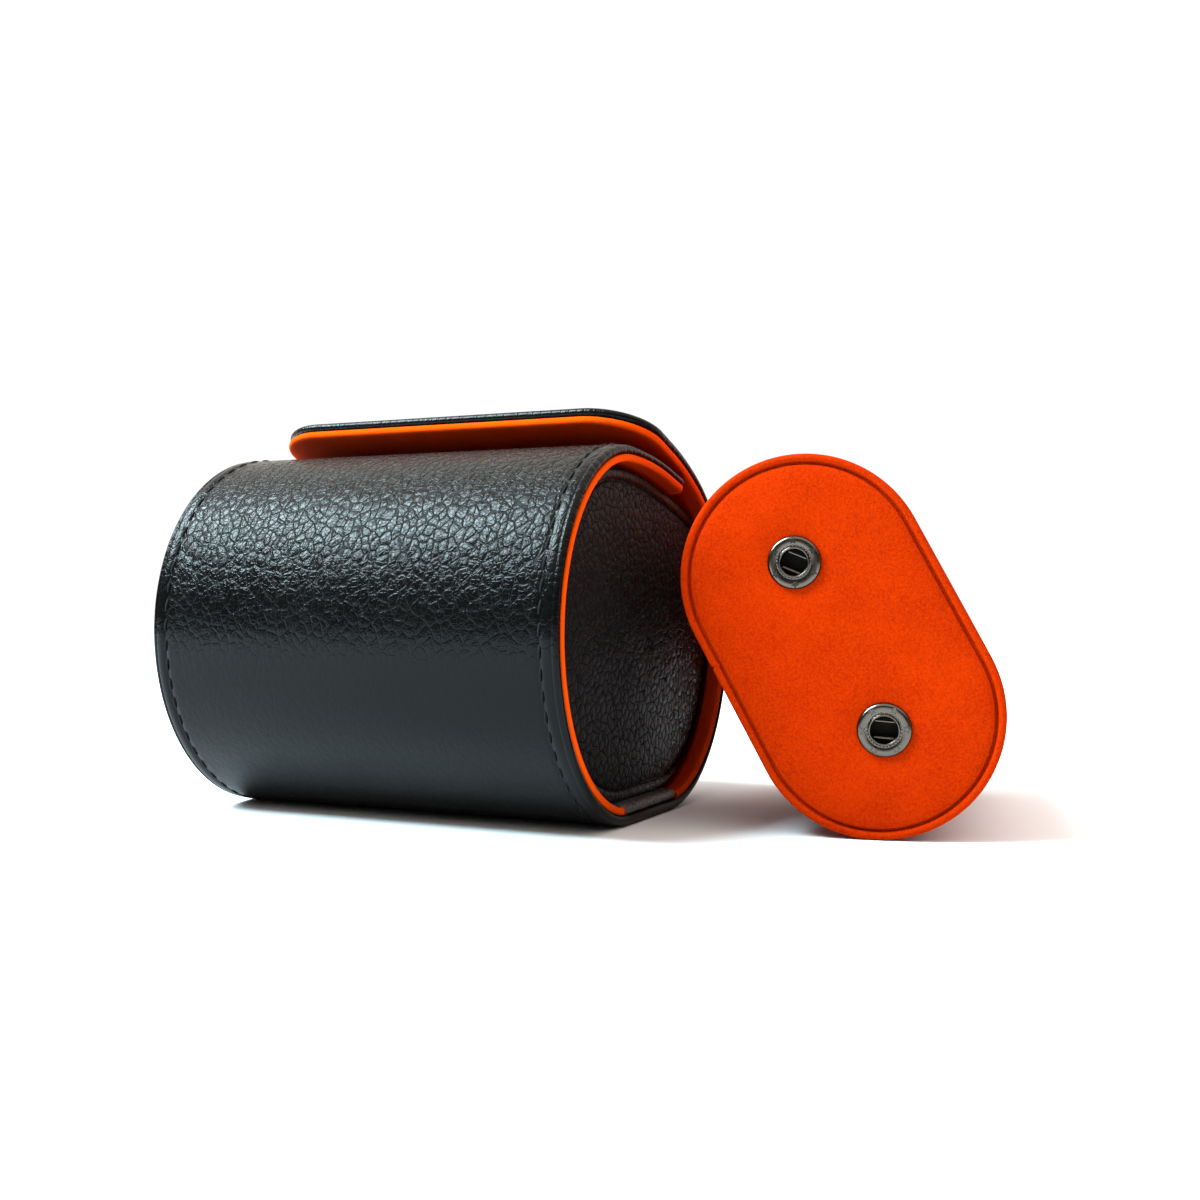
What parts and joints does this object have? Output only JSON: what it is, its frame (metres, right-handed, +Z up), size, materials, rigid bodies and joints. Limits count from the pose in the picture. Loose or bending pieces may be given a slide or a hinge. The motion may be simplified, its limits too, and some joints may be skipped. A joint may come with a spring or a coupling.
{
  "type": "watch roll",
  "caption": "Oval leather watch roll with magnetic flaps and hinged end panels, its snap-in suede pillow standing beside it.",
  "frame": {"origin": "middle of the case's flat underside, on the table", "axes": "+X along the case to the end beside which the pillow stands, +Y to the back, +Z up"},
  "size_m": [0.1582, 0.1083, 0.0808],
  "materials": {
    "black_leather": "satin",
    "orange_suede": "matte",
    "greyboard": "matte",
    "foam": "matte",
    "gunmetal": "polished",
    "steel": "satin"
  },
  "bodies": {
    "case": {"case_leather": "black_leather", "case_board": "greyboard", "case_lining": "orange_suede", "right_tab": "black_leather", "left_tab": "black_leather"},
    "inner_flap": {"inner_flap_leather": "black_leather", "inner_flap_board": "greyboard", "inner_flap_lining": "orange_suede", "inner_flap_keepers": "steel"},
    "outer_flap": {"outer_flap_leather": "black_leather", "outer_flap_board": "greyboard", "outer_flap_lining": "orange_suede", "outer_flap_magnets": "steel"},
    "right_panel": {"right_panel_board": "greyboard", "right_panel_rim": "black_leather", "right_panel_face": "black_leather", "right_panel_lining": "orange_suede", "right_panel_leaf": "black_leather", "right_panel_studs": "gunmetal", "right_panel_rivets": "steel"},
    "left_panel": {"left_panel_board": "greyboard", "left_panel_rim": "black_leather", "left_panel_face": "black_leather", "left_panel_lining": "orange_suede", "left_panel_leaf": "black_leather", "left_panel_studs": "gunmetal", "left_panel_rivets": "steel"},
    "pillow": {"pillow_core": "foam", "pillow_cover": "orange_suede", "pillow_front_board": "greyboard", "pillow_front_rim": "orange_suede", "pillow_front_face": "orange_suede", "pillow_back_board": "greyboard", "pillow_back_rim": "orange_suede", "pillow_back_face": "orange_suede", "snap_sockets": "gunmetal", "snap_springs": "steel", "snap_washers": "steel"}
  },
  "joints": [
    {"name": "outer_flap_hinge", "type": "hinge", "parent": "case", "child": "outer_flap", "pos_m": [0, 0.03213, 0.06471], "axis": [-1, 0, 0], "range_deg": [-2, 150]},
    {"name": "inner_flap_hinge", "type": "hinge", "parent": "case", "child": "inner_flap", "pos_m": [0, -0.00589, 0.07358], "axis": [1, 0, 0], "range_deg": [-1.1, 75.1]},
    {"name": "pillow_slide", "type": "slide", "parent": "case", "child": "pillow", "axis": [1, 0, 0], "range_m": [0, 0.1]},
    {"name": "right_panel_hinge", "type": "hinge", "parent": "case", "child": "right_panel", "pos_m": [0.045, -0.0016, 0.0037], "axis": [0, 1, 0], "range_deg": [0, 90]},
    {"name": "left_panel_hinge", "type": "hinge", "parent": "case", "child": "left_panel", "pos_m": [-0.045, -0.0016, 0.0037], "axis": [0, -1, 0], "range_deg": [0, 90]}
  ],
  "couplings": [
    {"joint": "inner_flap_hinge", "follows": "outer_flap_hinge", "ratio": 0.5},
    {"joint": "right_panel_hinge", "follows": "pillow_slide", "rad_per_m": 15.7}
  ]
}
